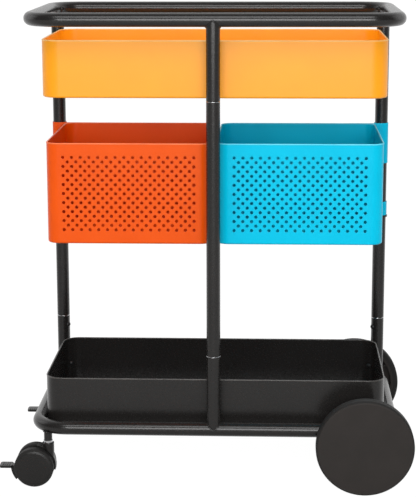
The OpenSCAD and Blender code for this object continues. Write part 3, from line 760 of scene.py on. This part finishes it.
@dataclass
class TubeFrame(SubAssembly):
    """Bent tube loops and upright posts, with weld beads, socket screws and bright joint lips."""

    tube_r: float = 11.0
    loop_r: float = 50.0            # of the loops' bends
    top_loop_z: float = 756.0
    bottom_loop_z: float = 98.5
    upper_bolt_z: float = 646.5
    front_bolt_z: float = 205.0
    rear_bolt_z: float = 195.0
    socket_r: float = 6.75          # of the caster sockets
    weld_r: float = 1.5
    weld_steps: int = 120
    ripple_mm: float = 1.8          # from one wave of a weld to the next
    ripple: float = 0.12            # height of the waves, as a share of weld_r
    lip_r: float = 0.6              # of a joint lip's round section
    lip_inset: float = 0.5          # of that section's middle from the tube's surface
    lip_steps: int = 48
    lip_sides: int = 8
    post_angle: float = 33.0        # of the rear posts on their bends, from the cart's sides
    lift: float = 0.35              # of the upper bolts' heads in the hollow of the bends

    def middle(self, node: str) -> Vector:
        """Centre of a CAD node's box."""
        low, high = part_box(node)
        return (low + high) / 2

    def from_loop(self, low: Vector, high: Vector, x: float, y: float) -> float:
        """Level distance of a point from a loop's centre line.

        Args:
            low: Lowest corner of the loop's box.
            high: Highest corner of the loop's box.
            x: Place across the cart in metres.
            y: Place along the cart's depth in metres.

        Returns:
            The distance in metres.
        """
        bend, tube = self.loop_r * MM, self.tube_r * MM
        core = (high - low) / 2 - Vector((tube + bend, tube + bend, 0))
        away = (abs(x - (low.x + high.x) / 2) - core.x, abs(y - (low.y + high.y) / 2) - core.y)
        return math.hypot(max(away[0], 0), max(away[1], 0)) + min(max(away), 0) - bend

    def weld(self, name: str, loop: str, axis: Vector, radius: float, loop_z: float, side: int) -> None:
        """Bead where an upright tube meets a loop.

        Args:
            name: Name of the piece.
            loop: CAD node of the loop.
            axis: Point on the upright's axis, in metres.
            radius: Radius of the upright in millimetres.
            loop_z: Height of the loop's centre line in millimetres.
            side: 1 above the loop, -1 below it.
        """
        path = []
        size = radius * MM
        low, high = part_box(loop)
        for turn in np.linspace(0, 2 * math.pi, self.weld_steps, endpoint=False):
            x, y = axis.x + size * math.cos(turn), axis.y + size * math.sin(turn)
            off = self.from_loop(low, high, x, y)
            rise = math.sqrt(max((self.tube_r * MM) ** 2 - off ** 2, 0))
            path.append((x, y, loop_z * MM + side * rise))
        wave = 2 * math.pi / (self.ripple_mm * MM)

        def thickness(along: float) -> float:
            """Radius of the bead at a distance along it."""
            return self.weld_r * MM * (1 + self.ripple * math.sin(wave * along))

        self.finish(new_piece(name, bead(np.array(path), thickness)), "cart_frame", Slot.FRAME)

    def welds(self) -> None:
        """Beads of the front stub, the three feet and the caster sockets."""
        front = self.middle("front_post")
        self.weld("top_stub_weld", "top_loop", front, self.tube_r, self.top_loop_z, -1)
        for word in ("front", "left", "right"):
            post = self.middle(f"{word}_post")
            self.weld(f"{word}_foot_weld", "bottom_loop", post, self.tube_r, self.bottom_loop_z, 1)
        for side in Side:
            name = f"{side.value}_socket_weld"
            stem = self.middle(f"{side.value}_caster_stem")
            self.weld(name, "bottom_loop", stem, self.socket_r, self.bottom_loop_z, -1)

    def bolts(self) -> None:
        """Socket screws of the six tube joints."""
        head = ButtonHead()
        parts = []
        tube = self.tube_r * MM
        front = self.middle("front_post")
        for z in (self.upper_bolt_z, self.front_bolt_z):
            parts.append(head.placed(Vector((front.x, front.y + tube, z * MM)), Vector((0, -1, 0))))
        for sign, word in ((-1, "left"), (1, "right")):
            at = self.middle(f"{word}_post")
            angle = math.radians(self.post_angle)
            inward = Vector((-sign * math.cos(angle), -math.sin(angle), 0))
            for z, lift in ((self.rear_bolt_z, 0), (self.top_loop_z, self.lift)):
                seat = Vector((at.x, at.y, z * MM)) + inward * (tube + lift * MM)
                parts.append(head.placed(seat, -inward))
        screws = new_piece("joint_socket_screws", join_parts(parts), smooth=False)
        self.finish(screws, "cart_frame", Slot.SCREWS, ["joint_bolts"])

    def joint_lips(self) -> None:
        """Polished cut ends of the tubes, a thin dark line with bright specks around each joint."""
        parts = []
        turn = np.linspace(0, 2 * np.pi, self.lip_steps, endpoint=False)
        reach = (self.tube_r - self.lip_inset) * MM
        for post in ("front_post", "left_post", "right_post"):
            low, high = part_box(post)
            x, y = (low.x + high.x) / 2, (low.y + high.y) / 2
            for z in (low.z, high.z) if post == "front_post" else (low.z,):
                level = np.full(len(turn), z)
                path = np.stack([x + reach * np.cos(turn), y + reach * np.sin(turn), level], 1)
                parts.append(bead(path, lambda along: self.lip_r * MM, self.lip_sides))
        self.finish(new_piece("joint_lips", join_parts(parts)), "cart_frame", Slot.CHROME)

    def build(self) -> None:
        """Dresses the frame's nodes and adds its welds, bolts and joint lips."""
        tubes = ["top_loop", "bottom_loop", "front_post", "left_post", "right_post", "axle_tube"]
        dress([*tubes, "post_collars"], Slot.FRAME, self.materials)
        dress(["joint_plugs", "tray_spacers", "wheel_axle", "axle_clips"], Slot.ZINC, self.materials)
        dress(["axle_bushes"], Slot.NYLON, self.materials)
        dress(["tray_screws"], Slot.SCREWS, self.materials)
        self.welds()
        self.bolts()
        self.joint_lips()


@dataclass
class SheetBox(SubAssembly):
    """Open box of bent sheet, with a rolled rim."""

    node: str = ""
    body: str = "cart_frame"
    slot: Slot = Slot.FRAME
    others: tuple[str, ...] = ()    # other nodes with the same finish
    corner_r: float = 28.0
    sheet: float = 1.2
    rim_r: float = 1.15
    rim_rise: float = 0.1           # of the rim above the sheet's edge

    def rim(self) -> None:
        """Rolled edge along the top of the four walls, coloured pale as a painted highlight."""
        low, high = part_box(self.node)
        inset = Vector((self.sheet / 2 * MM, self.sheet / 2 * MM, 0))
        height = high.z - (self.rim_r - self.rim_rise) * MM
        path = round_rect(low + inset, high - inset, (self.corner_r - self.sheet / 2) * MM, height)
        rolled = bead(path, lambda along: self.rim_r * MM)
        piece = self.finish(new_piece(f"{self.node}_rim", rolled), self.body, self.slot)
        # The rim's pale material is a painted highlight, not a different coat.
        piece.data.materials[0] = FINISHES[self.slot].on_rim().build()

    def build(self) -> None:
        """Dresses the box and adds its rim."""
        dress([self.node, *self.others], self.slot, self.materials)
        self.rim()


def tyre_seam(
    name: str, tyre: str, size: float, steps: int = 160, sides: int = 6, flatness: float = 0.2
) -> bpy.types.Object:
    """Thin moulding seam around the middle of a tyre's tread.

    Args:
        name: Name of the piece.
        tyre: CAD node of the tyre, whose axle is along Y.
        size: Half the seam's width in millimetres.
        steps: Points around the tyre.
        sides: Points around the seam's section.
        flatness: Height of the seam's section, as a share of its width.

    Returns:
        The piece.
    """
    low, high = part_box(tyre)
    middle = (low + high) / 2
    radius = (high.x - low.x) / 2
    turn = np.linspace(0, 2 * np.pi, steps, endpoint=False)
    around = np.linspace(0, 2 * np.pi, sides, endpoint=False)
    reach = radius + size * MM * flatness * np.cos(around)
    rings = np.stack([
        middle.x + reach[None] * np.cos(turn)[:, None],
        middle.y + np.broadcast_to(size * MM * np.sin(around), (steps, sides)),
        middle.z + reach[None] * np.sin(turn)[:, None],
    ], 2)
    return new_piece(name, skin(rings, closed=True))


@dataclass
class DiscWheel(SubAssembly):
    """Fixed wheel: ribbed core, tyre and flat disc cover."""

    side: Side = Side.FRONT
    seam_r: float = 0.35

    def build(self) -> None:
        """Dresses the wheel and adds the tyre's moulding seam."""
        wheel = f"{self.side.value}_wheel"
        dress([f"{wheel}_core", f"{wheel}_cover"], Slot.WHEEL, self.materials)
        dress([f"{wheel}_tyre"], Slot.TYRE, self.materials)
        self.finish(tyre_seam(f"{wheel}_seam", f"{wheel}_tyre", self.seam_r), wheel, Slot.TYRE)


@dataclass
class Caster(SubAssembly):
    """Braked swivel caster with two wheels."""

    side: Side = Side.FRONT
    seam_r: float = 0.25

    def build(self) -> None:
        """Dresses the caster and adds the seams of its tyres."""
        caster = f"{self.side.value}_caster"
        dress([f"{caster}_stem"], Slot.CHROME, self.materials)
        moulded = [f"{caster}_{part}" for part in ("hood", "outer_wheel", "inner_wheel", "pedal")]
        dress(moulded, Slot.CASTER, self.materials)
        dress([f"{caster}_axle", f"{caster}_pedal_pin"], Slot.ZINC, self.materials)
        for wheel in (f"{caster}_outer", f"{caster}_inner"):
            dress([f"{wheel}_tyre"], Slot.TYRE, self.materials)
            self.finish(tyre_seam(f"{wheel}_seam", f"{wheel}_tyre", self.seam_r), wheel, Slot.TYRE)


@dataclass(frozen=True)
class Softbox:
    """Rectangular soft light that points at the middle of the cart."""

    name: str
    place: Point
    size: tuple[float, float]       # width and height
    power: float                    # watts
    aim: Point = (0, 0, 0.42)

    def hang(self) -> None:
        """Adds the light to the scene."""
        light = bpy.data.lights.new(self.name, "AREA")
        light.shape = "RECTANGLE"
        light.size, light.size_y = self.size
        light.energy = self.power
        lamp = bpy.data.objects.new(self.name, light)
        lamp.location = self.place
        sight = Vector(self.aim) - Vector(self.place)
        lamp.rotation_euler = sight.to_track_quat("-Z", "Y").to_euler()
        bpy.context.scene.collection.objects.link(lamp)


@dataclass
class Studio:
    """White floor and backdrop, a darker room behind the camera, soft lights and the camera."""

    floor_size: float = 60.0
    floor_drop: float = 0.0004       # below the wheels, so that the faces never share a plane
    floor_paint: tuple[str, str] = ("#b9b9b8", "#b3b3b2")
    floor_tone: float = 240.0        # millimetres from one patch of the second grey to the next
    glow: float = 1.12               # strength of the floor's white
    glow_share: float = 0.88         # the rest is matt paint, which keeps the shadow
    camera_place: Point = (0.10995, -2.6506, 0.9135)
    camera_turn: float = 2.395       # degrees to the left of +Y
    camera_drop: float = 11.714      # degrees below level
    camera_tilt: float = -0.124      # degrees around the line of sight
    sensor: float = 36.0             # millimetres along the picture's long side
    lens: float = 116.44             # millimetres, for that sensor
    horizon: float = 0.3             # strength of the white surround as a light, level with the cart
    zenith: float = 1.1              # and straight above it
    room: float = 0.1                # what glossy pieces see of the room behind the camera
    backdrop: tuple[float, float] = (-0.1, 0.55)    # where it starts and is white, as a ray runs ahead
    softboxes: tuple[Softbox, ...] = (
        Softbox("key_softbox", (0.15, -2.9, 1.1), (2.0, 1.0), 42),
        Softbox("high_softbox", (0.0, -2.0, 2.9), (2.0, 1.0), 26),
        Softbox("left_softbox", (-2.4, 0.3, 1.4), (1.2, 1.6), 4),
        Softbox("right_softbox", (2.4, 0.3, 1.4), (1.2, 1.6), 4),
    )

    def shown(self, tree: Tree, ahead: Socket, other: Union[Socket, float]) -> Socket:
        """How bright the background is for each kind of ray.

        Args:
            tree: Node tree.
            ahead: How far the ray runs away from the camera's side, from -1 to 1.
            other: Value for diffuse rays, a number or a socket.

        Returns:
            1 for camera rays, the studio's backdrop and dark room for glossy and transmission rays.
        """
        path = add_node(tree, "ShaderNodeLightPath").outputs
        mirrored = add_node(
            tree, "ShaderNodeMath", {0: path["Is Glossy Ray"], 1: path["Is Transmission Ray"]},
            {"operation": "MAXIMUM"},
        )
        seen = add_node(tree, "ShaderNodeMapRange", {
            "Value": ahead, "From Min": self.backdrop[0], "From Max": self.backdrop[1],
            "To Min": self.room, "To Max": 1.0,
        })
        lit = add_node(tree, "ShaderNodeMix", {
            FACTOR: mirrored.outputs[0], VALUE_A: other, VALUE_B: seen.outputs["Result"],
        })
        return add_node(tree, "ShaderNodeMix", {
            FACTOR: path["Is Camera Ray"], VALUE_A: lit.outputs[MIXED_VALUE], VALUE_B: 1.0,
        }).outputs[MIXED_VALUE]

    def surround(self) -> None:
        """White surround that lights the cart softly, most of all from above."""
        world = bpy.data.worlds.new("studio_surround")
        world.use_nodes = True
        tree = world.node_tree
        tree.nodes.clear()
        direction = add_node(tree, "ShaderNodeTexCoord").outputs["Generated"]
        parts = add_node(tree, "ShaderNodeSeparateXYZ", {0: direction}).outputs
        sky = add_node(tree, "ShaderNodeMapRange", {
            "Value": parts["Z"], "From Min": 0.0, "From Max": 1.0,
            "To Min": self.horizon, "To Max": self.zenith,
        })
        light = add_node(tree, "ShaderNodeBackground", {
            "Color": linear("#ffffff"), "Strength": self.shown(tree, parts["Y"], sky.outputs["Result"]),
        })
        add_node(tree, "ShaderNodeOutputWorld", {"Surface": light.outputs[0]})
        bpy.context.scene.world = world

    def floor(self) -> None:
        """Pale floor that keeps the cart's shadow and shows as white."""
        half = self.floor_size / 2
        corners = np.array([(-half, -half, 0), (half, -half, 0), (half, half, 0), (-half, half, 0)])
        lowered = corners - np.array([0, 0, self.floor_drop])
        floor = new_piece("studio_floor", (lowered, [(0, 1, 2, 3)]), smooth=False)
        material, tree, coords = new_material("painted_studio_floor")
        colour = two_tones(tree, coords, self.floor_tone, self.floor_paint, 1.0)
        matt = add_node(tree, "ShaderNodeBsdfDiffuse", {"Color": colour, "Roughness": 0.5})
        incoming = add_node(tree, "ShaderNodeNewGeometry").outputs["Incoming"]
        back = add_node(tree, "ShaderNodeSeparateXYZ", {0: incoming}).outputs["Y"]
        ahead = add_node(tree, "ShaderNodeMath", {0: back, 1: -1.0}, {"operation": "MULTIPLY"}).outputs[0]
        share = add_node(
            tree, "ShaderNodeMath", {0: self.shown(tree, ahead, 0.0), 1: self.glow_share},
            {"operation": "MULTIPLY"},
        )
        glow = add_node(tree, "ShaderNodeEmission", {"Color": linear("#ffffff"), "Strength": self.glow})
        mixed = add_node(tree, "ShaderNodeMixShader", {
            0: share.outputs[0], 1: matt.outputs[0], 2: glow.outputs[0],
        })
        add_node(tree, "ShaderNodeOutputMaterial", {"Surface": mixed.outputs[0]})
        floor.data.materials.append(material)

    def camera(self) -> None:
        """Camera at the photograph's viewing angle."""
        data = bpy.data.cameras.new("camera")
        data.sensor_width = self.sensor
        data.lens = self.lens
        camera = bpy.data.objects.new("camera", data)
        turn = (
            Matrix.Rotation(math.radians(self.camera_turn), 4, "Z")
            @ Matrix.Rotation(math.radians(90 - self.camera_drop), 4, "X")
            @ Matrix.Rotation(math.radians(self.camera_tilt), 4, "Z")
        )
        camera.matrix_world = Matrix.Translation(self.camera_place) @ turn
        bpy.context.scene.collection.objects.link(camera)
        bpy.context.scene.camera = camera

    def build(self) -> None:
        """Builds the studio."""
        self.surround()
        self.floor()
        for softbox in self.softboxes:
            softbox.hang()
        self.camera()
        bpy.context.scene.view_settings.view_transform = "Standard"


def main() -> None:
    """Builds the studio and every sub-assembly of the cart."""
    logging.basicConfig(level=logging.INFO, format="%(name)s: %(message)s")
    Studio().build()
    materials = {slot: finish.build() for slot, finish in FINISHES.items()}
    parts: list[SubAssembly] = [
        TubeFrame(materials),
        SheetBox(materials, node="top_tray", slot=Slot.YELLOW),
        SheetBox(materials, node="bottom_tray", slot=Slot.FRAME),
        SheetBox(materials, node="left_basket", body="left_basket_unit", slot=Slot.ORANGE,
                 others=("left_basket_sleeves",), corner_r=20.0),
        SheetBox(materials, node="right_basket", body="right_basket_unit", slot=Slot.CYAN,
                 others=("right_basket_sleeves",), corner_r=20.0),
    ]
    for side in Side:
        parts += [DiscWheel(materials, side=side), Caster(materials, side=side)]
    for part in parts:
        part.build()
    LOG.info("%d new pieces", sum(len(part.made) for part in parts))


if __name__ == "__main__":
    main()
